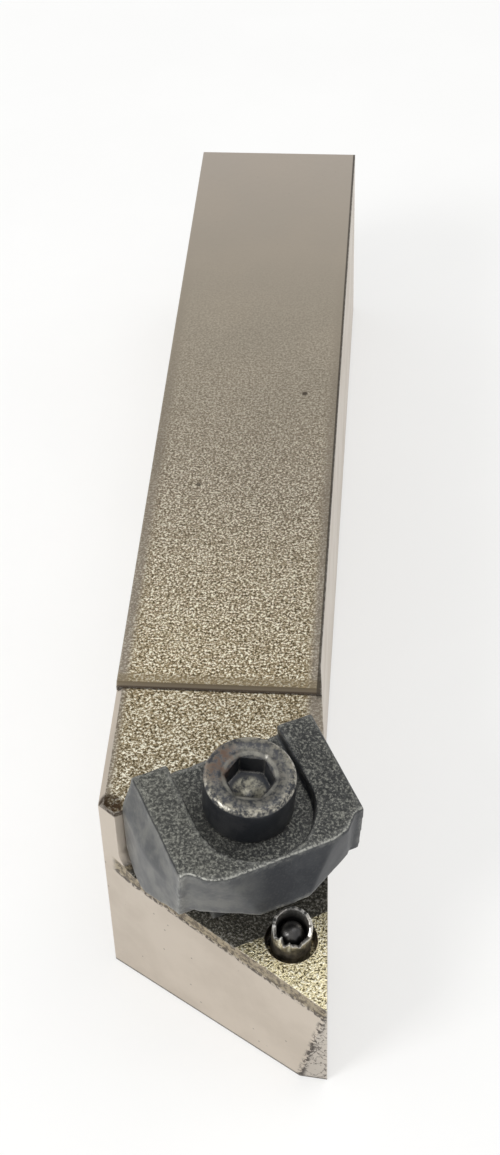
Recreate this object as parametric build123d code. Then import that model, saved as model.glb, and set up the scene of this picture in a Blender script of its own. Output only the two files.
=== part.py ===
from build123d import *
import math
import os

# Right-hand turning tool holder of the wedge-clamp kind, as it is left after a crash: the carbide insert and
# its shim are gone, the locating pin is broken off short, and the clamp is screwed right down on its bed.
#
# All sizes are millimetres. X runs across the shank with the cutting side at +X, Y runs from the nose (-Y) to
# the butt end (+Y), and Z is up from the face that the holder lies on. The origin is the middle of that face.

# Shank and head
overall_length = 125.0
shank_width = 20.0
shank_height = 25.0
back_edge_chamfer = 0.5
head_length = 29.3           # nose to the step in the top face
head_top_drop = 0.35         # how far the head's top lies below the shank's top
step_run = 0.5               # length of the sloped step between the two tops
head_edge_chamfer = 0.6
flare_start = 32.8           # distance from the nose where the cutting side starts to flare
flare_end = 13.8             # distance from the nose where it straightens again
flare_width = 1.6            # how far it has come out by there
lead_angle = 2.4             # the straight stretch beside the seat, against the shank's side

# Front faces of the head, each given by its angle in plan and its lean under the cutting edge
flank_angle = 32.7
flank_relief = 0.5
flank_setback = 14.35        # nose to the flank face, measured along the plain side at the bottom
corner_angle = 38.7
corner_relief = -0.9
corner_setback = 14.35
nose_angle = 6.0
nose_relief = 6.5
nose_setback = 1.6           # nose to the foot of the nose facet at the cutting side
nose_foot_offset = 2.0       # how far that foot stands out beyond the shank's side

# Seat of the insert: a plane tipped towards the nose, on which the pin, the clamp and its screw stand square
seat_turn = 28.5             # turn of the seat's own axis away from the shank's, in plan
seat_tilt = 8.5
pin_from_side = 1.5          # locating pin to the shank's cutting side
pin_from_nose = 6.9
seat_height = 15.35          # height of the seat at the pin
seat_back = 1.3              # the ground seat ends this far behind the pin
bed_relief = 0.3             # the clamp's bed lies this much lower
ramp_angle = 9.6
ramp_from_pin = 13.8         # pin to the foot of the ramp, along the seat
ramp_fillet = 2.0

# Clamp, in its own axes with the screw at their centre
screw_from_pin = 9.5
screw_offset = -0.5
clamp_top = 11.55            # height of the clamp's top above the seat plane
clamp_half_width = 9.2
nose_thickness = 6.2
nose_reach = 7.2             # screw to the front edge of the clamp's top
bow_reach = 8.8              # screw to the foot of its bow-shaped front face
leg_width = 2.0
leg_clearance = 0.35         # the side legs stop this far above the bed
leg_heel = 1.0               # where a leg's foot starts to rise towards the front, behind the screw
leg_depth = 7.0              # how far the legs reach down at their front
leg_reach = 5.4
wedge_half_width = 5.4
wedge_reach = 4.7
ramp_gap = 0.1
channel_half_width = 5.6
channel_depth = 1.45
channel_centre = 1.2         # centre of the channel's round end, in front of the screw
clamp_hole_radius = 2.8
clamp_edge_round = 0.35

# Clamp screw, a socket-head cap screw, and the ring that lifts the clamp with it
screw_radius = 2.5
screw_length = 20.0
screw_head_radius = 4.25
screw_head_height = 5.0
screw_head_chamfer = 0.45
screw_hex = 4.0
screw_hex_depth = 2.6
screw_bore_depth = 12.0
thread_clearance = 0.05
ring_radius = 3.3
ring_thickness = 0.7
ring_gap = 0.15              # play of the ring under the clamp
ring_groove_radius = 2.05
ring_groove_play = 0.05
ring_mouth = 2.6
ring_recess_radius = 3.6
ring_recess_depth = 1.5

# Locating pin, broken off above the seat
pin_radius = 1.9
pin_height = 3.0
pin_hex = 2.0
pin_hex_depth = 2.0
pin_stem_radius = 1.6
pin_stem_depth = 8.0
pin_well_radius = 2.5
pin_well_depth = 2.6
pin_break_angle = 16.0
pin_chip_radius = 0.42

# Places that follow from the sizes above
nose_y = -overall_length / 2
back_y = overall_length / 2
half_width = shank_width / 2
head_top = shank_height - head_top_drop
step_y = nose_y + head_length
far = 2 * overall_length

turn = math.radians(seat_turn)
tilt = math.radians(seat_tilt)
seat_normal = (math.sin(turn) * math.sin(tilt), -math.cos(turn) * math.sin(tilt), math.cos(tilt))
seat_across = (math.cos(turn), math.sin(turn), 0)
# seat plane: x across the clamp towards the cutting side, y towards the butt end, z square to the seat
seat = Plane(
    origin=(half_width - pin_from_side, nose_y + pin_from_nose, seat_height),
    x_dir=seat_across,
    z_dir=seat_normal,
)
clamp_axes = Plane(seat.from_local_coords(Vector(screw_offset, screw_from_pin, 0)), seat.x_dir, seat.z_dir)
clamp_foot = -bed_relief
channel_floor = clamp_top - channel_depth
ring_top = clamp_foot + ring_recess_depth - ring_gap


def beyond(point, outward):
    """A block that fills everything outside the plane through point, whose outward side is given."""
    return Plane(origin=point, z_dir=outward) * Box(far, far, far, align=(Align.CENTER, Align.CENTER, Align.MIN))


def front_face(point, plan_angle, relief):
    """What a leaning front face of the head cuts away: it faces the nose, turned in plan towards the plain side."""
    plan = math.radians(plan_angle)
    outward = (-math.sin(plan), -math.cos(plan), -math.tan(math.radians(relief)))
    return beyond(point, outward)


def head_blank():
    """Shank and head in one block, before the pocket is cut."""
    side_x = half_width + flare_width
    lead = math.tan(math.radians(lead_angle))
    outline = Polyline(
        (-half_width, back_y),
        (-half_width, nose_y),
        (side_x + lead * flare_end, nose_y),
        (side_x, nose_y + flare_end),
        (half_width, nose_y + flare_start),
        (half_width, back_y),
        close=True,
    )
    block = extrude(make_face(outline), shank_height)
    block = chamfer(block.faces().sort_by(Axis.Y)[-1].edges(), back_edge_chamfer)
    block -= front_face((-half_width, nose_y + flank_setback, 0), flank_angle, flank_relief)
    block -= front_face((-half_width, nose_y + corner_setback, 0), corner_angle, corner_relief)
    block -= front_face((half_width + nose_foot_offset, nose_y + nose_setback, 0), nose_angle, nose_relief)
    # the head's top is lower than the shank's, with a short slope between them
    step = Polyline(
        (nose_y - far, head_top),
        (step_y, head_top),
        (step_y + step_run, shank_height),
        (step_y + step_run, shank_height + far),
        (nose_y - far, shank_height + far),
        close=True,
    )
    block -= extrude(make_face(Plane.YZ * step), far, both=True)
    # soft edge along the head's plain side
    edge_end = (-half_width, nose_y, head_top - head_edge_chamfer)
    return block - (beyond(edge_end, (-1, 0, 1)) & Pos(0, step_y - far / 2, 0) * Box(far, far, far))


def side_plane(axes):
    """The upright plane through some axes in which x runs towards the butt end and y runs up."""
    return Plane(axes.origin, x_dir=axes.y_dir, z_dir=axes.x_dir)


def pocket():
    """The opening for shim, insert and clamp: the seat, the lower bed behind it and the ramp, cut right across."""
    lean = math.tan(math.radians(ramp_angle))
    foot = (ramp_from_pin + clamp_foot * lean, clamp_foot)
    profile = make_face(
        Polyline(
            (-far, 0),
            (seat_back, 0),
            (seat_back, clamp_foot),
            foot,
            (ramp_from_pin + far * lean, far),
            (-far, far),
            close=True,
        )
    )
    profile = fillet(profile.vertices().sort_by_distance(foot)[0], ramp_fillet)
    return extrude(side_plane(seat) * profile, far, both=True)


def hole(axes, radius, top, bottom):
    """A round hole square to the seat, between two heights above it."""
    return axes * Pos(0, 0, bottom) * Cylinder(radius, top - bottom, align=(Align.CENTER, Align.CENTER, Align.MIN))


def holder_body():
    body = head_blank() - pocket()
    body -= hole(clamp_axes, screw_radius + thread_clearance, shank_height, -screw_bore_depth)
    body -= hole(seat, pin_well_radius, shank_height, -pin_well_depth)
    body -= hole(seat, pin_stem_radius + thread_clearance, 0, -pin_stem_depth - thread_clearance)
    return body


def nose_outline(front, shoulder, shoulder_reach, flat):
    """Plan of the clamp at one height: straight sides, then two slanting steps each side into a flat front."""
    back = ramp_from_pin
    right = [
        (clamp_half_width, back),
        (clamp_half_width, -shoulder_reach[0]),
        (shoulder, -shoulder_reach[1]),
        (flat, -front),
    ]
    left = [(-x, y) for x, y in reversed(right)]
    return make_face(Polyline(*right, *left, close=True))


def wedge_clamp():
    """Flat-topped clamp: a bow-fronted nose over the insert, two side legs, and the wedge that pushes the insert."""
    top_outline = nose_outline(nose_reach, clamp_half_width - 2.3, (nose_reach - 2.7, nose_reach - 0.4), 5.4)
    low_outline = nose_outline(bow_reach, clamp_half_width - 1.6, (bow_reach - 4.4, bow_reach - 2.7), 2.3)
    nose_foot = clamp_top - nose_thickness
    clamp = loft([Pos(0, 0, nose_foot) * low_outline, Pos(0, 0, clamp_top) * top_outline], ruled=True)
    upright = Plane((0, 0, 0), x_dir=(0, 1, 0), z_dir=(1, 0, 0))
    leg_foot = clamp_foot + leg_clearance
    leg_side = make_face(
        Polyline(
            (-leg_reach, clamp_top),
            (-leg_reach, clamp_top - leg_depth),
            (leg_heel, leg_foot),
            (ramp_from_pin, leg_foot),
            (ramp_from_pin, clamp_top),
            close=True,
        )
    )
    leg = extrude(upright * leg_side, leg_width)
    for x in (-clamp_half_width, clamp_half_width - leg_width):
        clamp += Pos(x, 0, 0) * leg
    wedge_size = (2 * wedge_half_width, wedge_reach + ramp_from_pin, clamp_top - clamp_foot)
    clamp += Pos(0, -wedge_reach, clamp_foot) * Box(*wedge_size, align=(Align.CENTER, Align.MIN, Align.MIN))
    # back face: it lies on the body's ramp and clears the round at the ramp's foot
    lean = math.tan(math.radians(ramp_angle))
    ramp_y = ramp_from_pin - screw_from_pin - ramp_gap
    bevel = clamp_foot + ramp_fillet
    behind = make_face(
        Polyline(
            (ramp_y - ramp_fillet, clamp_foot - ramp_fillet),
            (ramp_y - ramp_fillet, clamp_foot),
            (ramp_y + bevel * lean, bevel),
            (ramp_y + far * lean, far),
            (far * 2, far),
            (far * 2, clamp_foot - ramp_fillet),
            close=True,
        )
    )
    clamp -= extrude(upright * behind, far, both=True)
    clamp = fillet(clamp.faces().sort_by(Axis.Z)[-1].edges(), clamp_edge_round)
    # channel that lets the screw head sink in, open at the back
    channel = Pos(0, -channel_centre, channel_floor) * (
        Cylinder(channel_half_width, clamp_top, align=(Align.CENTER, Align.CENTER, Align.MIN))
        + Box(2 * channel_half_width, far, clamp_top, align=(Align.CENTER, Align.MIN, Align.MIN))
    )
    clamp -= channel
    clamp -= Cylinder(clamp_hole_radius, far)
    clamp -= Pos(0, 0, clamp_foot) * Cylinder(
        ring_recess_radius, ring_recess_depth, align=(Align.CENTER, Align.CENTER, Align.MIN)
    )
    return clamp_axes * clamp


def clamp_screw():
    """Socket-head cap screw with a groove for the ring; its thread is left plain."""
    groove_top = ring_top + ring_groove_play
    groove_foot = ring_top - ring_thickness - ring_groove_play
    tip = channel_floor - screw_length
    half = Polyline(
        (0, tip),
        (screw_radius - 0.8, tip),
        (screw_radius, tip + 0.8),
        (screw_radius, groove_foot),
        (ring_groove_radius, groove_foot),
        (ring_groove_radius, groove_top),
        (screw_radius, groove_top),
        (screw_radius, channel_floor),
        (screw_head_radius, channel_floor),
        (screw_head_radius, channel_floor + screw_head_height - screw_head_chamfer),
        (screw_head_radius - screw_head_chamfer, channel_floor + screw_head_height),
        (0, channel_floor + screw_head_height),
        close=True,
    )
    screw = revolve(make_face(Plane.XZ * half), Axis.Z)
    head_end = channel_floor + screw_head_height
    hexagon = RegularPolygon(screw_hex / 2, 6, major_radius=False, rotation=30)
    screw -= extrude(Pos(0, 0, head_end - screw_hex_depth) * hexagon, screw_hex_depth)
    # the drill's cone at the socket's floor, and the lead-in at its mouth
    drill = Cone(0, screw_hex / 2, screw_hex / 3, align=(Align.CENTER, Align.CENTER, Align.MAX))
    lead_in = Cone(screw_hex / 2 - 0.2, screw_hex / 2 + 0.5, 0.7, align=(Align.CENTER, Align.CENTER, Align.MAX))
    screw -= Pos(0, 0, head_end - screw_hex_depth) * drill
    screw -= Pos(0, 0, head_end) * lead_in
    return clamp_axes * screw


def retaining_ring():
    """Open snap ring in the screw's groove, under the clamp."""
    ring = Cylinder(ring_radius, ring_thickness, align=(Align.CENTER, Align.CENTER, Align.MAX))
    ring -= Cylinder(ring_groove_radius, ring_thickness, align=(Align.CENTER, Align.CENTER, Align.MAX))
    ring -= Box(ring_mouth, ring_radius, ring_thickness, align=(Align.CENTER, Align.MIN, Align.MAX))
    return clamp_axes * Pos(0, 0, ring_top) * ring


def locating_pin():
    """Threaded locating pin, its upper part broken off on a slant and chipped round the rim."""
    stub = Pos(0, 0, -pin_well_depth) * Cylinder(
        pin_radius, pin_well_depth + pin_height, align=(Align.CENTER, Align.CENTER, Align.MIN)
    )
    stem = Pos(0, 0, -pin_well_depth) * Cylinder(
        pin_stem_radius, pin_stem_depth - pin_well_depth, align=(Align.CENTER, Align.CENTER, Align.MAX)
    )
    pin = stub + stem
    socket = RegularPolygon(pin_hex / 2, 6, major_radius=False)
    pin -= extrude(Pos(0, 0, pin_height - pin_hex_depth) * socket, pin_hex_depth)
    # the break falls away on the plain side, with two shell-shaped chips in what is left of the rim
    slant = math.radians(pin_break_angle)
    pin -= beyond((0, 0, pin_height), (-math.sin(slant), 0, math.cos(slant)))
    for angle in (170, 215):
        rim = math.radians(angle)
        chip = (pin_radius * math.cos(rim), pin_radius * math.sin(rim), pin_height - pin_radius * math.tan(slant))
        pin -= Pos(*chip) * Sphere(pin_chip_radius)
    return seat * pin


os.makedirs("parts", exist_ok=True)
pieces = {
    "holder_body": holder_body(),
    "wedge_clamp": wedge_clamp(),
    "clamp_screw": clamp_screw(),
    "retaining_ring": retaining_ring(),
    "locating_pin": locating_pin(),
}
for name, piece in pieces.items():
    piece.label = name
    export_step(piece, f"parts/{name}.step")
    print(name, "volume", round(piece.volume, 1), "solids", len(piece.solids()))
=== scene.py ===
# %% [markdown]
# # A turning tool holder with its clamp screwed down
#
# The object is a lathe tool: a steel bar whose one end is milled into a pocket for a small
# triangular carbide insert. Here the insert and the shim under it are gone, so the clamp has come
# right down on its bed and the broken stub of the locating pin stands free in the seat.
#
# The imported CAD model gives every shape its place. What this script adds is what a machinist would
# notice with the piece in hand: eased edges, plating with a coarse bright grain, a blackened clamp
# with a blasted top, a screw with a real thread and a real socket, a pin with a ragged rim, and the
# places where the plating has come off.

# %% Load the frame
import math

import bmesh
import bpy
import numpy as np
from mathutils import Matrix, Vector


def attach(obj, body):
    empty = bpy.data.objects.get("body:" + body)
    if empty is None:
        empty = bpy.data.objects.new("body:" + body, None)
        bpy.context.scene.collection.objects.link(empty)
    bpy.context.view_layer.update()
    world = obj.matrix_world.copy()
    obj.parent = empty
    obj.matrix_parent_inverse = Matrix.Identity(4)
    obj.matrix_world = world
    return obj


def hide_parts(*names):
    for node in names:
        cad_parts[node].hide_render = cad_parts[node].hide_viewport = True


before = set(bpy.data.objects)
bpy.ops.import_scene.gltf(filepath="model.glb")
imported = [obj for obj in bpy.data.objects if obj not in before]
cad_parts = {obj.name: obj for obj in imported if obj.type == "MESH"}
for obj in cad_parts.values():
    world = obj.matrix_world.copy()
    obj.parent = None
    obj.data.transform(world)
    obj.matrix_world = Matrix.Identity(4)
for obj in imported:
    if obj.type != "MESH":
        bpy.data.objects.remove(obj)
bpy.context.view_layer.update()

# %% [markdown]
# ## Axes that the small parts share
#
# The insert's seat is a plane tipped towards the nose. The pin, the clamp and its screw all stand
# square to it, so it is worth having one set of axes for them: `ACROSS` runs towards the cutting
# side, `BACK` towards the butt end and `UP` is square to the seat. Sizes are easier to read in
# millimetres, and Blender works in metres, so one function does the step between them.

# %% The seat's axes
MM = 0.001
TURN = math.radians(28.5)
TILT = math.radians(8.5)
UP = np.array([
    math.sin(TURN) * math.sin(TILT),
    -math.cos(TURN) * math.sin(TILT),
    math.cos(TILT),
])
ACROSS = np.array([math.cos(TURN), math.sin(TURN), 0.0])
BACK = np.cross(UP, ACROSS)
SEAT = np.array([8.5, -55.6, 15.35])
CLAMP_AXIS = SEAT - 0.5 * ACROSS + 9.5 * BACK


def in_place(points, origin):
    """Points (x across, y back, z up, in mm) seen from origin become metres in the row frame:
    p = (origin + x ACROSS + y BACK + z UP) / 1000."""
    points = np.asarray(points, float)
    return (origin + points @ np.stack([ACROSS, BACK, UP])) * MM


print("screw axis at", CLAMP_AXIS.round(3))

# %% [markdown]
# ## Surfaces turned round an axis
#
# Screws and pins are made on a lathe, so their surfaces are easiest to write as a function of two
# parameters: the angle round the axis and the step along the profile. A plain turned part has the
# same radius at every angle. If the radius may change with the angle as well, the same grid also
# gives a hexagon socket or a helical thread. The faces are index arithmetic on whole arrays, with
# the last column joined to the first and both ends closed by a fan.

# %% Grid builder
def angles(columns):
    """The angles of the grid's columns: t_j = 2 pi j / columns."""
    return np.arange(columns) * 2 * math.pi / columns


def turned(name, rings, columns, origin):
    """A closed surface from rings between two points on the axis.

    Each ring is (radius, height), numbers or arrays over the angles t_j, and
    p(i, j) = (r_i(t_j) cos t_j, r_i(t_j) sin t_j, h_i(t_j)). The first and last are points."""
    t = angles(columns)
    bottom, *middle, top = rings
    grid = [np.stack([r * np.cos(t), r * np.sin(t), h + 0 * t], 1) for r, h in middle]
    points = np.concatenate([[(0, 0, bottom[1])], *grid, [(0, 0, top[1])]])
    near = np.arange(columns)
    beside = (near + 1) % columns
    low = 1 + columns * np.arange(len(middle) - 1)[:, None]
    high = low + columns
    walls = np.stack([low + near, low + beside, high + beside, high + near], -1).reshape(-1, 4)
    last = 1 + (len(middle) - 1) * columns
    base = np.stack([0 * near, 1 + beside, 1 + near], -1)
    tip = np.stack([last + near, last + beside, 0 * near + len(points) - 1], -1)
    faces = walls.tolist() + base.tolist() + tip.tolist()
    mesh = bpy.data.meshes.new(name)
    mesh.from_pydata(in_place(points, origin).tolist(), [], faces)
    piece = bpy.data.objects.new(name, mesh)
    bpy.context.scene.collection.objects.link(piece)
    print(name, len(points), "points,", len(faces), "faces")
    return piece


# %% [markdown]
# A turned surface should look round and an edge crisp. Splitting the mesh at its edges would do
# that, but it opens the skin. Smooth shading with some edges marked as sharp keeps it closed.

# %% Shading
def shade(piece, sharp_above):
    """Smooth shading, with edges that turn by more than sharp_above degrees kept crisp."""
    mesh = piece.data
    mesh.polygons.foreach_set("use_smooth", np.ones(len(mesh.polygons), bool))
    mesh.set_sharp_from_angle(angle=math.radians(sharp_above))


# %% [markdown]
# ## Clamp screw
#
# The real one is a cold-headed, black-oxide socket-head screw. Its thread is rolled: a ridge that
# climbs one pitch for every turn. On the grid this is a radius that depends on height minus pitch
# times the fraction of a turn, so the ridge joins up with itself one pitch higher. A thread could
# also be swept along a helix, but that leaves a seam where it meets the core. Here there is none.

# %% Thread
HEAD_FOOT = 10.1
HEAD_TOP = 15.1
TIP = -9.9
PITCH = 0.8
SHANK_RADIUS = 2.5
CORE_RADIUS = 2.0
HEAD_RADIUS = 4.25
KEY_WIDTH = 4.05
THREAD_TOP = 0.25
SCREW_COLUMNS = 96
t = angles(SCREW_COLUMNS)


def thread_radius(t, z, foot, top):
    """Radius of an M5 ridge: r = 2.5 - 0.5 ridge, where the ridge is a clipped triangle wave of
    f, the fraction of z / pitch - t / (2 pi). It runs out over one pitch at both ends."""
    f = np.mod(z / PITCH - t / (2 * math.pi), 1)
    ridge = np.clip(1.25 * np.abs(2 * f - 1) - 0.12, 0, 1)
    run_out = min(1.0, (z - foot) / PITCH, (top - z) / PITCH)
    return SHANK_RADIUS - 0.5 * ridge * max(run_out, 0)


levels = np.arange(TIP + 0.1, THREAD_TOP, 0.1)
rings = [(0, TIP), (1.75, TIP), (CORE_RADIUS, TIP + 0.05)]
for z in levels:
    pointed = CORE_RADIUS + (z - TIP)
    rings.append((np.minimum(thread_radius(t, z, TIP, THREAD_TOP), pointed), z))
print("thread", round((THREAD_TOP - TIP) / PITCH, 1), "turns")

# %% [markdown]
# Above the thread comes a groove for the small ring that lifts the clamp, then the plain shank and
# the head. The socket is punched, with a cone left at its floor by the drill that went in first. In
# a grid the change from the round rim to the hexagon is only a change of radius from ring to ring.

# %% Screw
def hexagon(t, across_flats):
    """Radius of a hexagon at the angles t: r = (w / 2) / cos(a), with a from -30 to 30 degrees."""
    a = np.mod(t - math.pi / 6, math.pi / 3) - math.pi / 6
    return across_flats / 2 / np.cos(a)


rings += [(SHANK_RADIUS, 0.29), (2.06, 0.3), (2.05, 0.34), (2.05, 1.06)]
rings += [(2.06, 1.1), (2.48, 1.11), (SHANK_RADIUS, 1.14)]
rings += [(SHANK_RADIUS, z) for z in (3.0, 5.0, 7.0, 9.4)]
rings += [(2.53, 9.7), (2.62, 9.95), (2.8, HEAD_FOOT), (3.95, HEAD_FOOT)]
foot_round = [(4.12, 0.05), (4.21, 0.15), (HEAD_RADIUS, 0.32)]
rings += [(r, HEAD_FOOT + rise) for r, rise in foot_round]
rings += [(HEAD_RADIUS, z) for z in np.arange(HEAD_FOOT + 0.6, HEAD_TOP - 0.5, 0.4)]
top_round = [(HEAD_RADIUS, 0.5), (4.22, 0.34), (4.13, 0.18), (3.98, 0.06), (3.8, 0)]
top_round += [(3.4, 0), (2.95, 0), (2.78, 0.04)]
rings += [(r, HEAD_TOP - drop) for r, drop in top_round]
socket = hexagon(t, KEY_WIDTH)
rings += [(np.minimum(2.62, socket + 0.35), HEAD_TOP - 0.16)]
rings += [(np.minimum(2.5, socket + 0.12), HEAD_TOP - 0.3), (socket, HEAD_TOP - 0.45)]
rings += [(socket, HEAD_TOP - drop) for drop in (1.0, 1.6, 2.2, 2.5)]
drill_cone = [(1.75, 2.66), (0.9, 3.15), (0, 3.6)]
rings += [(socket * 0.97, HEAD_TOP - 2.6)] + [(r, HEAD_TOP - drop) for r, drop in drill_cone]
screw = turned("socket_screw", rings, SCREW_COLUMNS, CLAMP_AXIS)
shade(screw, 32)
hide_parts("clamp_screw")
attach(screw, "screw")

# %% [markdown]
# ## Locating pin
#
# The pin went through the insert's hole, and its head has snapped off. What is left is a
# thin-walled tube: tall at the back, low in front, with a few slivers of wall still standing and
# notches between them, and a round core inside. One grid can hold all of that, because the height
# of the rim is a function of the angle.

# %% Height of the broken rim
PIN_COLUMNS = 180
t = angles(PIN_COLUMNS)
rng = np.random.default_rng(7)
ragged = sum(
    rng.uniform(0.03, 0.08) * np.sin(k * t + rng.uniform(0, 6.28)) for k in (3, 5, 7, 11, 17)
)


def bump_at(angle, width):
    """One hump round the rim: exp(-(d / width)^2), d being the angle from its middle in degrees."""
    d = np.degrees(np.angle(np.exp(1j * (t - math.radians(angle)))))
    return np.exp(-((d / width) ** 2))


slivers = 0.62 * bump_at(160, 6) + 0.66 * bump_at(206, 5) + 0.4 * bump_at(236, 4)
notches = 0.62 * bump_at(183, 8) + 0.5 * bump_at(221, 6)
notches = notches + 0.42 * bump_at(268, 6) + 0.25 * bump_at(310, 9)
leaning = 2.5 + 0.46 * np.cos(t - math.radians(75))
rim = np.clip(leaning + slivers - notches + 0.4 * ragged, 1.35, 3.0)
print("pin rim from", rim.min().round(2), "to", rim.max().round(2), "mm above the seat")

# %% [markdown]
# The rings climb the outer wall, cross the torn rim, go down inside and end in the core's dome.
# Two attributes on the points tell the material where the metal broke and carries painted glints,
# and where painted shade lies inside.

# %% Broken pin
PIN_RADIUS = 1.9
rings = [(0, -2.6), (1.65, -2.6), (1.84, -2.5)]
rings += [(PIN_RADIUS, z) for z in (-2.3, -1.2, 0.0)]
rings += [(PIN_RADIUS, rim * k / 6) for k in range(1, 6)]
torn = len(rings)
rings += [(PIN_RADIUS - 0.02 * notches, rim - 0.08), (1.86 - 0.05 * notches, rim)]
rings += [(1.72 + 0.03 * ragged, rim), (1.58, rim - 0.06)]
hollow = len(rings)
rings += [(1.5 + 0.04 * ragged, rim - 0.3), (1.46, np.minimum(1.5, rim - 0.4))]
rings += [(1.4, np.minimum(1.3, rim - 0.45)), (1.22, 0.9), (1.16, 1.25)]
rings += [(1.1 * math.sin(a), 1.5 + 0.75 * math.cos(a)) for a in np.radians((78, 62, 46, 30, 14))]
rings += [(0, 2.25)]
pin = turned("broken_pin", rings, PIN_COLUMNS, SEAT)
shade(pin, 34)

# Broken metal, with painted glints strongest on the standing slivers.
fracture_and_glint = np.zeros((len(rings) - 2, PIN_COLUMNS))
fracture_and_glint[torn - 4:torn - 1] = np.clip(slivers * 1.6, 0, 1)
fracture_and_glint[torn - 1:hollow] = np.clip(0.35 + 1.4 * slivers, 0, 1)
# Painted shade inside the tube.
inside = np.zeros_like(fracture_and_glint)
inside[hollow:] = 1
for label, values in (("fracture_and_glint", fracture_and_glint), ("inside", inside)):
    values = np.concatenate([[0], values.ravel(), [values[-1, 0]]]).astype(np.float32)
    pin.data.attributes.new(label, "FLOAT", "POINT").data.foreach_set("value", values)
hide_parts("locating_pin")
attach(pin, "holder")

# %% [markdown]
# ## Copies of the two bodies
#
# The holder and the clamp start as copies of the CAD solids. Those are loose triangles, so their
# points are merged and the flat ones joined into whole faces. Only then can a modifier tell a real
# edge from a line between two triangles of the same face.

# %% A clean copy of a CAD solid
def skin_of(node, name):
    """One closed skin from a CAD node: points merged, flat triangles joined into whole faces."""
    sheet = bmesh.new()
    sheet.from_mesh(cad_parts[node].data)
    bmesh.ops.remove_doubles(sheet, verts=sheet.verts, dist=3e-6)
    flat = math.radians(0.5)
    bmesh.ops.dissolve_limit(sheet, angle_limit=flat, verts=sheet.verts, edges=sheet.edges)
    mesh = bpy.data.meshes.new(name)
    sheet.to_mesh(mesh)
    open_edges = sum(1 for e in sheet.edges if not e.is_manifold)
    sheet.free()
    piece = bpy.data.objects.new(name, mesh)
    bpy.context.scene.collection.objects.link(piece)
    print(name, len(mesh.polygons), "faces,", open_edges, "open edges")
    return piece


# %% [markdown]
# ## Ground body
#
# No real edge is perfectly sharp. The holder is milled and ground: flat faces with a tiny break
# along each edge, which a Bevel modifier gives. It could be filleted in CAD too, but a break this
# small is a finish, and the modifier leaves the faces between the edges perfectly flat.

# %% Ground body
holder = skin_of("holder_body", "shank_and_head")
bevel = holder.modifiers.new("broken edges", "BEVEL")
bevel.width = 0.16 * MM
bevel.segments = 3
bevel.limit_method = "ANGLE"
bevel.angle_limit = math.radians(24)
bevel.harden_normals = True
shade(holder, 40)
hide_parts("holder_body")
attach(holder, "holder")

# %% [markdown]
# ## Forged clamp
#
# The clamp is blunt in another way. It is forged, so every edge and inner corner is soft. A bevel
# would keep the faces dead flat between its roundings, so instead the whole skin is rebuilt from
# small even squares and smoothed, and the result is kept as the clamp's own mesh.

# %% Forged clamp: an even, softened skin
clamp = skin_of("wedge_clamp", "forged_clamp")
remesh = clamp.modifiers.new("even skin", "REMESH")
remesh.mode = "VOXEL"
remesh.voxel_size = 0.15 * MM
soften = clamp.modifiers.new("soft edges", "SMOOTH")
soften.factor = 0.5
soften.iterations = 14
settled = bpy.context.evaluated_depsgraph_get()
clamp_mesh = bpy.data.meshes.new_from_object(clamp.evaluated_get(settled))
clamp.modifiers.clear()
clamp.data = clamp_mesh
print("clamp", len(clamp_mesh.polygons), "squares")

# %% [markdown]
# A forging die needs draft, so the left side leans outwards on its way down, and forged faces are
# faintly uneven. Both could be sculpted by hand. Formulas on the points' places along the seat's
# axes are easier to change and to repeat. The unevenness leaves out the underside and the hole,
# because the clamp rests and slides there.

# %% Forged clamp: leaning side and uneven faces
def step(value, start, end):
    """0 before start, 1 after end, 3 s^2 - 2 s^3 between them."""
    s = np.clip((value - start) / (end - start), 0, 1)
    return s * s * (3 - 2 * s)


LEAN = 1.15
UNEVEN = 0.025
points = np.empty(len(clamp_mesh.vertices) * 3)
clamp_mesh.vertices.foreach_get("co", points)
normals = np.empty_like(points)
clamp_mesh.vertices.foreach_get("normal", normals)
points = points.reshape(-1, 3)
normals = normals.reshape(-1, 3)
x, y, z = ((points / MM - CLAMP_AXIS) @ np.stack([ACROSS, BACK, UP]).T).T
lean = LEAN * step(x, -6.6, -9.2) * step(z, 11.3, 7.5) * step(y, -5.2, 0.5)
swell = UNEVEN * np.sin(1.6 * x + 1.1 * np.sin(1.3 * z)) * np.cos(1.5 * y + 0.8)
visible = step(z, 0.8, 2.0) * step(np.hypot(x, y), 5.0, 6.5)
points = points - lean[:, None] * ACROSS * MM + (swell * visible)[:, None] * normals * MM
clamp_mesh.vertices.foreach_set("co", points.ravel())
clamp_mesh.update()
shade(clamp, 180)
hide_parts("wedge_clamp")
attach(clamp, "clamp")
print("side leans out by up to", lean.max().round(2), "mm")

# %% [markdown]
# ## Small tools for materials
#
# A material is a little program of nodes. Writing it by hand takes one helper that adds a node,
# sets its inputs and joins whatever is given as another node's output. The next ones are built on
# it: a step of arithmetic, a soft threshold, a band between two thresholds, and factors multiplied.

# %% Nodes and masks
def put(tree, kind, _set=None, **inputs):
    """Adds a node. Inputs go by socket name with _ for a space, or as i0, i1... by number."""
    node = tree.nodes.new(kind)
    for key, value in (_set or {}).items():
        setattr(node, key, value)
    for key, value in inputs.items():
        by_number = key[0] == "i" and key[1:].isdigit()
        socket = node.inputs[int(key[1:])] if by_number else node.inputs[key.replace("_", " ")]
        if isinstance(value, bpy.types.NodeSocket):
            tree.links.new(value, socket)
        else:
            socket.default_value = value
    return node


def maths(tree, operation, a, b=0.0, c=0.0, clamp=False):
    """One step of arithmetic; gives its output socket."""
    settings = {"operation": operation, "use_clamp": clamp}
    return put(tree, "ShaderNodeMath", settings, i0=a, i1=b, i2=c).outputs[0]


def both(tree, *factors):
    """Factors multiplied together."""
    result = factors[0]
    for factor in factors[1:]:
        result = maths(tree, "MULTIPLY", result, factor)
    return result


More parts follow.
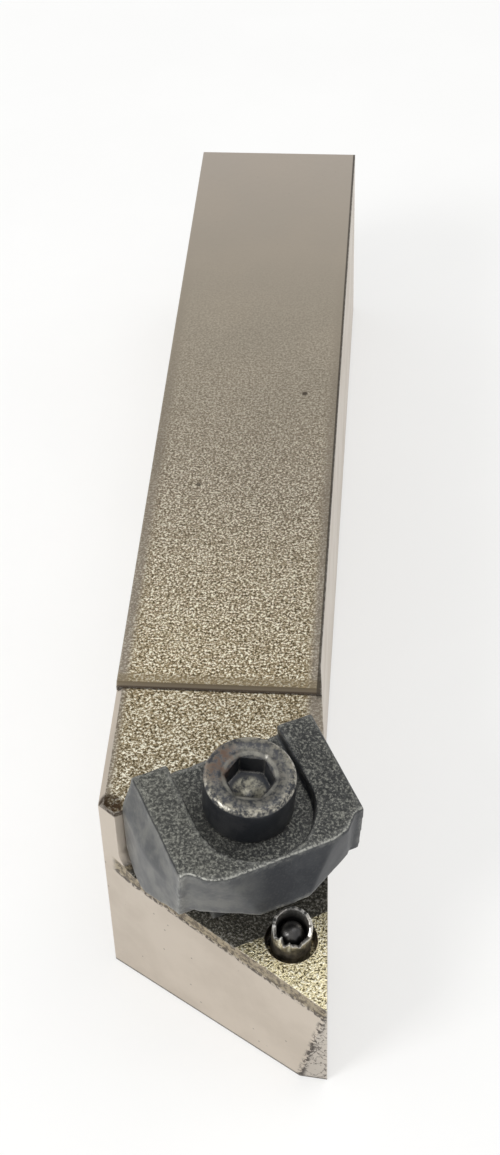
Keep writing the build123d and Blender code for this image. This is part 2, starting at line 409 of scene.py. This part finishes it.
def fade(tree, value, start, end):
    """0 at start, 1 at end, smooth between and level outside; start may be the larger one."""
    low, high, out = (start, end, (0.0, 1.0)) if start < end else (end, start, (1.0, 0.0))
    ends = {"From_Min": low, "From_Max": high, "To_Min": out[0], "To_Max": out[1]}
    settings = {"interpolation_type": "SMOOTHSTEP"}
    return put(tree, "ShaderNodeMapRange", settings, Value=value, **ends).outputs[0]


def band(tree, value, outer_low, inner_low, inner_high, outer_high):
    """1 between the two inner limits, 0 outside the outer ones, smooth on the way."""
    rise = fade(tree, value, outer_low, inner_low)
    return both(tree, rise, fade(tree, value, outer_high, inner_high))


# %% [markdown]
# Colours are mixed in layers, as a painter would: what is there already, a colour over it, and a
# mask that says how much. `along` gives a slow change of colour from one end of a bar to the other.

# %% Colours
def blend(tree, factor, a, b):
    """Colour a where factor is 0, b where it is 1."""
    node = put(tree, "ShaderNodeMix", {"data_type": "RGBA"}, i0=factor)
    for index, value in ((6, a), (7, b)):
        if isinstance(value, bpy.types.NodeSocket):
            tree.links.new(value, node.inputs[index])
        else:
            node.inputs[index].default_value = (*value, 1)
    return node.outputs[2]


def over(tree, under, colour, *factors):
    """Colour laid over under, as strongly as the factors multiplied together."""
    return blend(tree, both(tree, *factors), under, colour)


def along(tree, value, start, end, stops):
    """A colour that changes from start to end through stops, each (position 0 to 1, colour)."""
    share = put(tree, "ShaderNodeMapRange", None, Value=value, From_Min=start, From_Max=end)
    node = put(tree, "ShaderNodeValToRGB", None, Fac=share.outputs[0])
    ramp = node.color_ramp
    while len(ramp.elements) < len(stops):
        ramp.elements.new(0.5)
    for element, (place, colour) in zip(ramp.elements, stops):
        element.position = place
        element.color = (*colour, 1)
    return node.outputs[0]


# %% [markdown]
# Marks that sit at one place on the object need distances: from a point, from an axis, or beyond a
# plane. They start from Object coordinates, so a mark stays where it is when the piece moves.

# %% Places
def vector(tree, operation, a, b, output=0):
    """One step of vector arithmetic; b may be plain numbers."""
    if not isinstance(b, bpy.types.NodeSocket):
        b = tuple(float(v) for v in b)
    return put(tree, "ShaderNodeVectorMath", {"operation": operation}, i0=a, i1=b).outputs[output]


def apart(tree, coords, point, axis=None):
    """Distance in metres from a point, or from the line through it along axis, both given in mm."""
    gap = vector(tree, "SUBTRACT", coords, np.asarray(point, float) * MM)
    if axis is not None:
        axis = np.asarray(axis, float) / np.linalg.norm(axis)
        gap = vector(tree, "CROSS_PRODUCT", gap, axis)
    return put(tree, "ShaderNodeVectorMath", {"operation": "LENGTH"}, i0=gap).outputs["Value"]


def ahead(tree, coords, point, axis):
    """How far, in metres, coords lie beyond point (mm) along axis."""
    reach = vector(tree, "DOT_PRODUCT", coords, axis, "Value")
    return maths(tree, "SUBTRACT", reach, float(np.dot(point, axis)) * MM)


def noise(tree, coords, scale, detail, roughness):
    """Cloudy noise with scale patches to the metre."""
    settings = {"Scale": scale, "Detail": detail, "Roughness": roughness}
    return put(tree, "ShaderNodeTexNoise", None, Vector=coords, **settings).outputs[0]


# %% [markdown]
# What several materials share goes into a group with named inputs and outputs. A group gives back
# only masks and heights, and each material keeps its own surface shader.

# %% Groups and materials
def group(name, inputs, outputs):
    """An empty node group: inputs are (name, kind, value), outputs are names of plain values."""
    tree = bpy.data.node_groups.new(name, "ShaderNodeTree")
    for label, kind, value in inputs:
        socket = tree.interface.new_socket(label, in_out="INPUT", socket_type=kind)
        if value is not None:
            socket.default_value = value
    for label in outputs:
        tree.interface.new_socket(label, in_out="OUTPUT", socket_type="NodeSocketFloat")
    given = tree.nodes.new("NodeGroupInput").outputs
    return tree, given, tree.nodes.new("NodeGroupOutput").inputs


def use(tree, inner, **inputs):
    """Puts a group into a material; gives its outputs."""
    node = tree.nodes.new("ShaderNodeGroup")
    node.node_tree = inner
    for key, value in inputs.items():
        socket = node.inputs[key]
        if isinstance(value, bpy.types.NodeSocket):
            tree.links.new(value, socket)
        else:
            socket.default_value = value
    return node.outputs


def material(name):
    """A material with an empty tree; gives it, its tree and the object's own coordinates."""
    made = bpy.data.materials.new(name)
    made.use_nodes = True
    made.node_tree.nodes.clear()
    coords = put(made.node_tree, "ShaderNodeTexCoord").outputs["Object"]
    return made, made.node_tree, coords


def surface(made, relief, strength, distance, **inputs):
    """The material's own shader, with relief as its bump; inputs are the shader's sockets."""
    tree = made.node_tree
    bump = put(tree, "ShaderNodeBump", None, Strength=strength, Distance=distance, Height=relief)
    shader = put(tree, "ShaderNodeBsdfPrincipled", None, Normal=bump.outputs[0], **inputs)
    out = tree.nodes.new("ShaderNodeOutputMaterial")
    tree.links.new(shader.outputs[0], out.inputs["Surface"])
    print(made.name, len(tree.nodes), "nodes")


# %% [markdown]
# ## Shared effects
#
# Three effects turn up on every piece. *Grain* is the pebbled surface that blasting leaves under
# plating or blacking: two sizes of noise, and small round pits from a cell pattern.

# %% Grain
VECTOR, NUMBER = "NodeSocketVector", "NodeSocketFloat"
grain_group, given, result = group(
    "grain",
    [("Place", VECTOR, None), ("Size", NUMBER, 0.35), ("Detail", NUMBER, 2.0)],
    ["Height", "Speck", "Hollow", "Pit"],
)
per_metre = maths(grain_group, "DIVIDE", 1000.0, given["Size"])
finer = maths(grain_group, "MULTIPLY", per_metre, 2.3)
wider = maths(grain_group, "MULTIPLY", per_metre, 0.16)
coarse = noise(grain_group, given["Place"], per_metre, given["Detail"], 0.6)
fine = put(grain_group, "ShaderNodeTexNoise", None, Vector=given["Place"], Scale=finer, Detail=1.0)
cells = put(grain_group, "ShaderNodeTexVoronoi", None, Vector=given["Place"], Scale=wider)
height = maths(grain_group, "MULTIPLY_ADD", fine.outputs[0], 0.4, coarse)
grain_group.links.new(height, result["Height"])
grain_group.links.new(fade(grain_group, height, 0.73, 0.82), result["Speck"])
grain_group.links.new(fade(grain_group, height, 0.67, 0.58), result["Hollow"])
grain_group.links.new(fade(grain_group, cells.outputs["Distance"], 0.09, 0.04), result["Pit"])
print("grain", len(grain_group.nodes), "nodes")

# %% [markdown]
# *Edge wear and highlight* is found by comparing the true normal with one averaged over a small
# radius: they differ only near an edge. Its colour is both wear and a painted highlight along the
# edge. Noise then eats into the mask, because no edge wears evenly.

# %% Worn edge
edge_group, given, result = group(
    "edge_wear_and_highlight",
    [("Place", VECTOR, None), ("Radius", NUMBER, 0.3), ("Breakup", NUMBER, 0.5)],
    ["Mask"],
)
radius = maths(edge_group, "MULTIPLY", given["Radius"], MM)
rounded = put(edge_group, "ShaderNodeBevel", {"samples": 4}, Radius=radius).outputs[0]
true = put(edge_group, "ShaderNodeNewGeometry").outputs["Normal"]
agreement = vector(edge_group, "DOT_PRODUCT", rounded, true, "Value")
clean = fade(edge_group, agreement, 0.995, 0.86)
eaten = fade(edge_group, noise(edge_group, given["Place"], 1400.0, 3.0, 0.65), 0.3, 0.62)
lost = maths(edge_group, "MULTIPLY", eaten, given["Breakup"])
edge_group.links.new(maths(edge_group, "SUBTRACT", clean, lost, clamp=True), result["Mask"])
print("worn edge", len(edge_group.nodes), "nodes")

# %% [markdown]
# Handling leaves a thin, uneven film of oil and dust. *Grime* is slow, cloudy noise cut softly at
# two levels, so that it gathers in patches. It could be painted, but that needs an unwrapped skin.

# %% Grime
grime_group, given, result = group(
    "grime", [("Place", VECTOR, None), ("Size", NUMBER, 8.0)], ["Patch"]
)
per_metre = maths(grime_group, "DIVIDE", 1000.0, given["Size"])
cloud = noise(grime_group, given["Place"], per_metre, 5.0, 0.6)
grime_group.links.new(fade(grime_group, cloud, 0.38, 0.66), result["Patch"])
print("grime", len(grime_group.nodes), "nodes")

# %% [markdown]
# ## Plated steel
#
# The body is nickel plated: a warm, slightly yellow grey. Its upward faces were blasted before
# plating and keep a coarse, glittering grain that grows towards the head and thins out at the sides
# of the bar. One material does it all, because it is one piece of steel with one plating, and masks
# made from places and normals say where each finish lies.

# %% Plated steel: where each finish lies
plated, tree, coords = material("plated_steel")
normal = put(tree, "ShaderNodeNewGeometry").outputs["Normal"]
place = put(tree, "ShaderNodeSeparateXYZ", None, Vector=coords).outputs
facing = put(tree, "ShaderNodeSeparateXYZ", None, Vector=normal).outputs
grain = use(tree, grain_group, Place=coords, Size=0.24)
edge = use(tree, edge_group, Place=coords, Radius=0.3, Breakup=0.8)
grime = use(tree, grime_group, Place=coords, Size=9.0)
flecks = noise(tree, coords, 1900.0, 4.0, 0.7)

upward = fade(tree, facing["Z"], 0.93, 0.98)
near_head = fade(tree, place["Y"], 0.045, -0.03)
off_middle = maths(tree, "ABSOLUTE", place["X"])
above_seat = ahead(tree, coords, SEAT, UP)
below_head_top = fade(tree, place["Z"], 0.0238, 0.0232)
in_pocket = fade(tree, place["Y"], -0.038, -0.039)
on_seat = both(tree, fade(tree, above_seat, 0.0006, 0.0002), below_head_top, in_pocket)
inner = fade(tree, off_middle, 0.0096, 0.0082)
top_grain = both(tree, near_head, maths(tree, "MULTIPLY_ADD", inner, 0.7, 0.3))
blasted = both(tree, upward, maths(tree, "MAXIMUM", top_grain, on_seat))

# %% [markdown]
# The colour runs from a pale grey at the butt end to brown-gold at the head, and the seat has a
# brighter gold of its own. The grain's peaks carry painted glints and its hollows painted shade.

# %% Plated steel: colour and grain
PLATE_STOPS = [
    (0.0, (0.74, 0.66, 0.57)),
    (0.32, (0.57, 0.5, 0.4)),
    (0.62, (0.4, 0.335, 0.25)),
    (0.88, (0.42, 0.335, 0.2)),
    (1.0, (0.38, 0.31, 0.195)),
]
shank = along(tree, place["Y"], 0.0625, -0.045, PLATE_STOPS)
near_sides = fade(tree, off_middle, 0.0085, 0.0095)
colour = over(tree, shank, (0.36, 0.31, 0.25), near_sides, near_head)
colour = over(tree, colour, (0.8, 0.71, 0.44), on_seat)
colour = blend(tree, upward, (0.6, 0.53, 0.45), colour)
colour = over(tree, colour, (0.24, 0.2, 0.16), grime["Patch"], 0.13)
# Painted glints on the grain's peaks, and painted shade in its hollows.
colour = over(tree, colour, (1.0, 0.96, 0.8), grain["Speck"], blasted, 0.95)
colour = over(tree, colour, (0.07, 0.052, 0.025), grain["Hollow"], blasted, 0.92)
few_on_top = maths(tree, "SUBTRACT", 0.6, maths(tree, "MULTIPLY", upward, 0.5))
colour = over(tree, colour, (0.1, 0.08, 0.065), grain["Pit"], few_on_top)

# %% [markdown]
# Behind the pin the seat gives way to a rough bed of bare steel under the clamp, darkened by
# painted shade. Where the head meets the shank there is a small step: a short slope in painted
# shade with a painted shadow line at its foot, and a smoother band behind it that the blasting
# missed. A thin dark line also follows the bar's cutting side.

# %% Plated steel: bed, step and side line
STEP_Y = -33.2
behind_pin = ahead(tree, coords, SEAT + 1.3 * BACK, BACK)
bed = both(
    tree, on_seat, fade(tree, behind_pin, -0.0001, 0.0002), fade(tree, facing["Z"], 0.5, 0.8)
)
# The bed is bare steel with painted shade from the clamp over it.
bed_colour = blend(tree, grain["Speck"], (0.055, 0.055, 0.052), (0.26, 0.25, 0.23))
colour = over(tree, colour, bed_colour, bed, 0.92)

from_step = maths(tree, "SUBTRACT", place["Y"], STEP_Y * MM)
high_up = fade(tree, place["Z"], 0.0241, 0.0243)
smooth_band = both(tree, band(tree, from_step, 0.0002, 0.0005, 0.0012, 0.0019), high_up)
tipped = fade(tree, facing["Z"], 0.985, 0.95)
slope = both(tree, band(tree, from_step, -0.0001, 0.0001, 0.0006, 0.0008), tipped, high_up)
foot = both(tree, band(tree, from_step, -0.0003, -0.0001, 0.00005, 0.0002), high_up)
colour = over(tree, colour, (0.27, 0.215, 0.13), smooth_band, 0.6)
# Painted shade on the step's slope, and a painted shadow line at its foot.
colour = over(tree, colour, (0.085, 0.066, 0.04), slope, 0.9)
colour = over(tree, colour, (0.035, 0.025, 0.018), foot, 0.9)

on_side = fade(tree, place["X"], 0.0097, 0.0098)
behind_step = fade(tree, place["Y"], -0.034, -0.0333)
top_corner = fade(tree, place["Z"], 0.0244, 0.0247)
colour = over(tree, colour, (0.05, 0.042, 0.035), on_side, behind_step, top_corner, 0.8)

# %% [markdown]
# On the front face the plating has flaked along the seat's rim: a brown crust, with dark dots along
# its lower border. The dots are one noise cut at a threshold, inside a narrow band.

# %% Plated steel: worn band below the seat
on_front = fade(tree, facing["Y"], -0.3, -0.6)
on_flank = both(tree, on_front, fade(tree, place["X"], -0.0092, -0.0085))
rim_band = both(tree, on_flank, band(tree, above_seat, -0.0019, -0.0014, 0.0, 0.0001))
crust = blend(tree, fade(tree, flecks, 0.42, 0.58), (0.36, 0.3, 0.2), (0.1, 0.075, 0.045))
colour = over(tree, colour, crust, rim_band, 0.9)
lower_border = band(tree, above_seat, -0.0021, -0.0018, -0.0016, -0.0013)
dots = fade(tree, flecks, 0.47, 0.52)
colour = over(tree, colour, (0.045, 0.028, 0.015), on_flank, lower_border, dots, 0.92)

# %% [markdown]
# Beyond the nose's edge the plating has peeled. The thin dark veins are a noise's level lines: the
# places where it is very close to one half.

# %% Plated steel: peeled nose
NOSE_TOP = np.array([12.13, -62.5, 13.85])
NOSE_FOOT = np.array([9.44, -60.63, 0.0])
nose_edge = NOSE_TOP - NOSE_FOOT
past_edge = np.cross(nose_edge, (-0.5, -0.85, 0.0)) / 14.2
from_half = maths(tree, "SUBTRACT", noise(tree, coords, 620.0, 3.0, 0.6), 0.5)
vein = fade(tree, maths(tree, "ABSOLUTE", from_half), 0.02, 0.008)
beyond = fade(tree, ahead(tree, coords, NOSE_TOP, past_edge), -0.0001, 0.0002)
bare = both(tree, beyond, on_front)
colour = over(tree, colour, (0.46, 0.44, 0.41), bare, 0.4)
colour = over(tree, colour, (0.06, 0.048, 0.04), bare, vein, 0.8)
beside_edge = fade(tree, apart(tree, coords, NOSE_TOP, nose_edge), 0.0006, 0.0001)
flaked = fade(tree, flecks, 0.47, 0.54)
colour = over(tree, colour, (0.055, 0.042, 0.034), beside_edge, flaked, on_front, 0.95)

# %% [markdown]
# Last come single marks: the chipped corner of the head, a painted contact shadow along the bar's
# lower edge, and two small pits in the shank's top.

# %% Plated steel: single marks
CHIPPED_CORNER = (-9.0, -48.35, 24.7)
SHANK_PITS = [((6.1, 12.5, 25.0), 0.42), ((-4.6, -3.5, 25.0), 0.34)]
near_corner = fade(tree, apart(tree, coords, CHIPPED_CORNER), 0.0019, 0.0013)
on_head = fade(tree, place["Z"], 0.024, 0.0242)
chip_tone = maths(tree, "MULTIPLY_ADD", fade(tree, flecks, 0.4, 0.55), 0.35, 0.65)
colour = over(tree, colour, (0.055, 0.035, 0.02), near_corner, on_head, chip_tone)
# Painted contact shadow along the foot of the bar's side faces.
sole = both(tree, fade(tree, place["Z"], 0.00034, 0.00016), maths(tree, "SUBTRACT", 1.0, upward))
colour = over(tree, colour, (0.06, 0.055, 0.05), sole, 0.8)
for where, size in SHANK_PITS:
    pit = fade(tree, apart(tree, coords, where), size * MM, size * 0.5 * MM)
    colour = over(tree, colour, (0.08, 0.06, 0.045), pit, 0.85)

# %% [markdown]
# The same masks raise the bump where the skin is rough, and the bed is duller than the plating.

# %% Plated steel: surface
# Edges: bare-metal wear and a painted highlight.
colour = over(tree, colour, (0.8, 0.77, 0.7), edge["Mask"], 0.55)
dirty = both(tree, maths(tree, "MAXIMUM", bed, rim_band), 0.6)
rough_skin = maths(tree, "MAXIMUM", blasted, dirty)
relief = both(tree, grain["Height"], maths(tree, "MULTIPLY_ADD", rough_skin, 0.96, 0.04))
dull = maths(tree, "MULTIPLY_ADD", bed, 0.25, 0.34)
dull = maths(tree, "MULTIPLY_ADD", grime["Patch"], 0.1, dull)
surface(plated, relief, 0.9, 0.00012, Base_Color=colour, Metallic=1.0, Roughness=dull)

# %% [markdown]
# ## Blackened clamp
#
# Black oxide is a thin magnetite skin: nearly black, slightly blue, and half-matt. The clamp's top
# was blasted afterwards, so it is greyer and speckled, and its front lip is rubbed to bare steel.
# Its left side gets painted light: it is painted paler than the other sides. How squarely a face
# looks along the seat's `UP` tells top, shoulder and side apart, which would take painted masks
# otherwise.

# %% Clamp: sides and top
black, tree, coords = material("black_clamp")
normal = put(tree, "ShaderNodeNewGeometry").outputs["Normal"]
square = vector(tree, "DOT_PRODUCT", normal, UP, "Value")
forwards = vector(tree, "DOT_PRODUCT", normal, -BACK, "Value")
grain = use(tree, grain_group, Place=coords, Size=0.26)
edge = use(tree, edge_group, Place=coords, Radius=1.1, Breakup=0.75)
grime = use(tree, grime_group, Place=coords, Size=5.0)
smear = use(tree, grime_group, Place=coords, Size=2.2)

top = fade(tree, square, 0.7, 0.95)
left_of_screw = fade(tree, ahead(tree, coords, CLAMP_AXIS, -ACROSS), 0.001, 0.007)
side = blend(tree, grime["Patch"], (0.018, 0.02, 0.025), (0.038, 0.041, 0.046))
# Painted light: the left side is painted paler than the other sides.
pale = blend(tree, smear["Patch"], (0.082, 0.084, 0.086), (0.15, 0.15, 0.14))
arm = blend(tree, left_of_screw, (0.06, 0.061, 0.058), (0.1, 0.1, 0.088))
arm = over(tree, arm, (0.035, 0.036, 0.036), grime["Patch"], 0.6)
colour = blend(tree, top, blend(tree, left_of_screw, side, pale), arm)

# %% [markdown]
# On the top the grain's peaks are grey and its hollows black. The left arm's shoulder is a dark
# line, and the lip towards the nose a broken bright one.

# %% Clamp: speckle, shoulder and lip
raised = fade(tree, grain["Height"], 0.68, 0.92)
mostly_top = maths(tree, "MULTIPLY_ADD", top, 0.7, 0.04)
colour = over(tree, colour, (0.29, 0.29, 0.25), raised, mostly_top)
hollow_tone = fade(tree, grain["Height"], 0.74, 0.54)
colour = over(tree, colour, (0.012, 0.013, 0.013), hollow_tone, top, 0.65)
shoulder = band(tree, square, 0.45, 0.65, 0.8, 0.93)
colour = over(tree, colour, (0.015, 0.016, 0.016), shoulder, left_of_screw, 0.75)
lip = both(tree, band(tree, square, 0.62, 0.78, 0.9, 0.965), fade(tree, forwards, 0.05, 0.25))
colour = over(tree, colour, (0.4, 0.4, 0.36), lip, fade(tree, grain["Height"], 0.55, 0.75), 0.8)
# Edges: bare-metal wear and a painted highlight.
colour = over(tree, colour, (0.4, 0.4, 0.37), edge["Mask"], 0.85)
relief = both(tree, grain["Height"], maths(tree, "MULTIPLY_ADD", top, 0.75, 0.25))
dull = maths(tree, "MULTIPLY_ADD", top, 0.1, 0.42)
surface(black, relief, 0.7, 0.0001, Base_Color=colour, Metallic=0.55, Roughness=dull)

# %% [markdown]
# ## Blackened screw
#
# The screw has the same oxide, rubbed on the rim of its head and round the socket's mouth where
# the key goes in, with a smear of rust on one side. A painted highlight runs along the head's outer
# rim and a painted glint sits on the cone at the socket's floor. Rings need only the distance from
# the screw's axis.

# %% Screw: where it is rubbed, and where a glint is painted
screw_black, tree, coords = material("black_screw")
grain = use(tree, grain_group, Place=coords, Size=0.22)
edge = use(tree, edge_group, Place=coords, Radius=0.4, Breakup=0.7)
grime = use(tree, grime_group, Place=coords, Size=3.0)
flecks = noise(tree, coords, 1500.0, 4.0, 0.7)
radial = apart(tree, coords, CLAMP_AXIS, UP)
climb = ahead(tree, coords, CLAMP_AXIS, UP)
head_face = fade(tree, climb, (HEAD_TOP - 0.5) * MM, (HEAD_TOP - 0.2) * MM)
lead_in = both(tree, band(tree, radial, 0.0022, 0.0023, 0.0025, 0.0027), head_face)
drops = [(HEAD_TOP - drop) * MM for drop in (3.7, 3.3, 2.7, 2.4)]
# The place of the painted glint on the socket's floor.
socket_floor = both(tree, fade(tree, radial, 0.0017, 0.0013), band(tree, climb, *drops))

# %% [markdown]
# The layers go on from the oxide outwards: mottling, a painted highlight at the rim, the ring at the
# socket's mouth, a painted glint on the cone at its floor, edges with wear and a painted highlight,
# and the rust last.

# %% Screw: colour and surface
colour = blend(tree, grime["Patch"], (0.024, 0.027, 0.033), (0.055, 0.056, 0.06))
towards_rim = maths(tree, "MULTIPLY_ADD", fade(tree, radial, 0.0034, 0.0039), 0.6, 0.4)
blotches = fade(tree, flecks, 0.38, 0.62)
colour = over(tree, colour, (0.3, 0.28, 0.225), head_face, blotches, towards_rim)
# Painted highlight: a broken bright line round the head's outer rim.
outer_line = both(tree, fade(tree, radial, 0.00385, 0.00405), head_face)
colour = over(tree, colour, (0.5, 0.48, 0.42), outer_line, fade(tree, flecks, 0.45, 0.6), 0.7)
uneven = maths(tree, "MULTIPLY_ADD", flecks, 0.8, 0.1)
colour = over(tree, colour, (0.3, 0.29, 0.25), lead_in, uneven)
# Painted glint on the drill cone at the socket's floor.
colour = over(tree, colour, (0.4, 0.38, 0.3), socket_floor, fade(tree, flecks, 0.35, 0.65))
# Edges: bare-metal wear and a painted highlight.
colour = over(tree, colour, (0.42, 0.4, 0.36), edge["Mask"], 0.85)
RUST_AT = in_place([(-2.5, 2.9, HEAD_TOP)], CLAMP_AXIS)[0] / MM
near_rust = fade(tree, apart(tree, coords, RUST_AT), 0.0031, 0.0012)
rust = both(tree, near_rust, fade(tree, flecks, 0.42, 0.6))
colour = over(tree, colour, (0.12, 0.06, 0.036), rust, 0.7)
dull = maths(tree, "MULTIPLY_ADD", rust, 0.3, 0.36)
surface(
    screw_black, grain["Height"], 0.22, 0.00006, Base_Color=colour, Metallic=0.6, Roughness=dull
)

# %% [markdown]
# ## Pin
#
# The pin is hardened tool steel, oily and dark on its turned wall and bright where it broke. The
# standing slivers carry painted glints and the inside of the tube painted shade. The two attributes
# written with its mesh say where.

# %% Pin steel
pin_steel, tree, coords = material("pin_steel")
grain = use(tree, grain_group, Place=coords, Size=0.25)
edge = use(tree, edge_group, Place=coords, Radius=0.15, Breakup=0.6)
grime = use(tree, grime_group, Place=coords, Size=1.6)
torn_metal_and_glint = put(tree, "ShaderNodeAttribute", {"attribute_name": "fracture_and_glint"}).outputs["Fac"]
dark_inside = put(tree, "ShaderNodeAttribute", {"attribute_name": "inside"}).outputs["Fac"]
colour = blend(tree, grime["Patch"], (0.07, 0.065, 0.058), (0.42, 0.38, 0.32))
# Painted shade inside the tube.
colour = over(tree, colour, (0.05, 0.05, 0.052), dark_inside, 0.9)
# Broken metal with painted glints.
crystal_and_glint = blend(tree, grain["Speck"], (0.66, 0.65, 0.62), (1.0, 0.99, 0.96))
colour = blend(tree, torn_metal_and_glint, colour, crystal_and_glint)
# Edges: bare-metal wear and a painted highlight.
colour = over(tree, colour, (0.9, 0.89, 0.86), edge["Mask"], 0.6)
relief = both(tree, grain["Height"], maths(tree, "MULTIPLY_ADD", torn_metal_and_glint, 0.8, 0.2))
surface(pin_steel, relief, 0.75, 0.00008, Base_Color=colour, Metallic=0.9, Roughness=0.32)

# %% [markdown]
# ## Ring
#
# The ring under the clamp is spring steel with a faint straw tint from its tempering. Its shape is
# right as the CAD has it, so it only gets a material.

# %% Spring steel
spring, tree, coords = material("spring_steel")
grain = use(tree, grain_group, Place=coords, Size=0.2)
edge = use(tree, edge_group, Place=coords, Radius=0.12, Breakup=0.5)
grime = use(tree, grime_group, Place=coords, Size=1.2)
colour = blend(tree, grime["Patch"], (0.3, 0.28, 0.25), (0.42, 0.36, 0.24))
# Edges: bare-metal wear and a painted highlight.
colour = over(tree, colour, (0.7, 0.68, 0.62), edge["Mask"], 0.5)
surface(spring, grain["Height"], 0.15, 0.00004, Base_Color=colour, Metallic=1.0, Roughness=0.3)

# %% [markdown]
# ## Each piece gets its finish
#
# A new piece takes its material into its own mesh. The ring is a CAD node, so it gets the material
# through the slot that its object already has.

# %% Give out the materials
for piece, finish in ((holder, plated), (clamp, black), (screw, screw_black), (pin, pin_steel)):
    piece.data.materials.append(finish)
    print(piece.name, "->", finish.name)
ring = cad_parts["retaining_ring"]
for slot in ring.material_slots:
    slot.material = spring
print(ring.name, "->", [slot.material.name for slot in ring.material_slots])

# %% [markdown]
# ## Table
#
# The tool lies on a white table. A plain white floor would come out grey in its own shade, and more
# light would bleach the steel. So part of the floor's white is given to rays that come straight
# from the camera, from a mirror-like surface or through something clear. The rest still takes the
# object's shadow.

# %% Table
SHARE_OF_GLOW = 0.5
floor_mesh = bpy.data.meshes.new("table")
floor_mesh.from_pydata([(-3, -3, 0), (3, -3, 0), (3, 3, 0), (-3, 3, 0)], [], [(0, 1, 2, 3)])
floor = bpy.data.objects.new("table", floor_mesh)
bpy.context.scene.collection.objects.link(floor)
paper, tree, coords = material("white_table")
grime = use(tree, grime_group, Place=coords, Size=60.0)
tone = blend(tree, grime["Patch"], (0.86, 0.86, 0.853), (0.89, 0.89, 0.884))
matt = put(tree, "ShaderNodeBsdfPrincipled", None, Base_Color=tone, Roughness=0.7)
glow = put(tree, "ShaderNodeEmission", None, Color=(0.985, 0.985, 0.975, 1.0), Strength=1.0)
path = put(tree, "ShaderNodeLightPath").outputs
direct = maths(tree, "MAXIMUM", path["Is Camera Ray"], path["Is Glossy Ray"])
direct = maths(tree, "MAXIMUM", direct, path["Is Transmission Ray"])
seen = maths(tree, "MULTIPLY", direct, SHARE_OF_GLOW)
mixed = put(tree, "ShaderNodeMixShader", None, i0=seen, i1=matt.outputs[0], i2=glow.outputs[0])
out = tree.nodes.new("ShaderNodeOutputMaterial")
tree.links.new(mixed.outputs[0], out.inputs["Surface"])
floor_mesh.materials.append(paper)
print("table", len(tree.nodes), "nodes")

# %% [markdown]
# ## Light
#
# Metal shows its surroundings more than its own colour. A world that is bright in front and dimmer
# at the back, which is what the top of the shank mirrors, does most of the work here.

# %% World
world = bpy.data.worlds.new("studio")
bpy.context.scene.world = world
world.use_nodes = True
tree = world.node_tree
tree.nodes.clear()
heading = put(tree, "ShaderNodeTexCoord").outputs["Generated"]
behind = vector(tree, "DOT_PRODUCT", heading, (0.0, 0.72, 0.69), "Value")
sky = blend(tree, fade(tree, behind, 0.55, 0.98), (1.0, 1.0, 1.0), (0.55, 0.55, 0.55))
glow = put(tree, "ShaderNodeBackground", None, Color=sky, Strength=0.88)
out = tree.nodes.new("ShaderNodeOutputWorld")
tree.links.new(glow.outputs[0], out.inputs["Surface"])
print("world", len(tree.nodes), "nodes")

# %% [markdown]
# Two large soft lamps shape the clamp and give the faint shadow to the right. Their size matters
# more than their power: a small lamp would draw a hard shadow line on the table.

# %% Lamps
def softbox(name, place, target, size, power):
    """A square area lamp at place, turned towards target; sizes in metres, power in watts."""
    lamp = bpy.data.lights.new(name, "AREA")
    lamp.size = size
    lamp.energy = power
    made = bpy.data.objects.new(name, lamp)
    made.location = place
    made.rotation_euler = (Vector(target) - Vector(place)).to_track_quat("-Z", "Y").to_euler()
    bpy.context.scene.collection.objects.link(made)
    print(name, power, "W from", place)


softbox("front_left", (-0.45, -0.45, 0.5), (0, -0.04, 0.01), 0.25, 2.6)
softbox("overhead", (0.15, 0.1, 0.7), (0, 0, 0), 0.4, 1.0)

# %% [markdown]
# ## Camera
#
# The camera looks down from above the nose, as when the tool lies on a bench in front of you. A
# Track To constraint could aim it, but it would also hold it level. Its three axes are written out
# instead, so that it can be rolled a little about its own line of sight.

# %% Camera
azimuth, elevation, roll = math.radians(5.749), math.radians(44.526), math.radians(-2.120)
towards = Vector((
    math.sin(azimuth) * math.cos(elevation),
    -math.cos(azimuth) * math.cos(elevation),
    math.sin(elevation),
))
level = (-towards).cross(Vector((0, 0, 1))).normalized()
above = level.cross(-towards)
right = math.cos(roll) * level + math.sin(roll) * above
upright = -math.sin(roll) * level + math.cos(roll) * above
eye = bpy.data.cameras.new("bench_view")
eye.lens = 62.56
eye.clip_start = 0.01
camera = bpy.data.objects.new("bench_view", eye)
pose = Matrix((right, upright, towards)).transposed().to_4x4()
pose.translation = Vector((0.01691, -0.16498, 0.17069))
camera.matrix_world = pose
bpy.context.scene.collection.objects.link(camera)
bpy.context.scene.camera = camera
print("camera at", tuple(round(v, 4) for v in camera.location))

# %% [markdown]
# The Standard view shows colours as they are written. A filmic view would grey the white table.

# %% Colour view
bpy.context.scene.view_settings.view_transform = "Standard"
print("view", bpy.context.scene.view_settings.view_transform)

# %% [markdown]
# ## End

# %% End
print("end of the script")
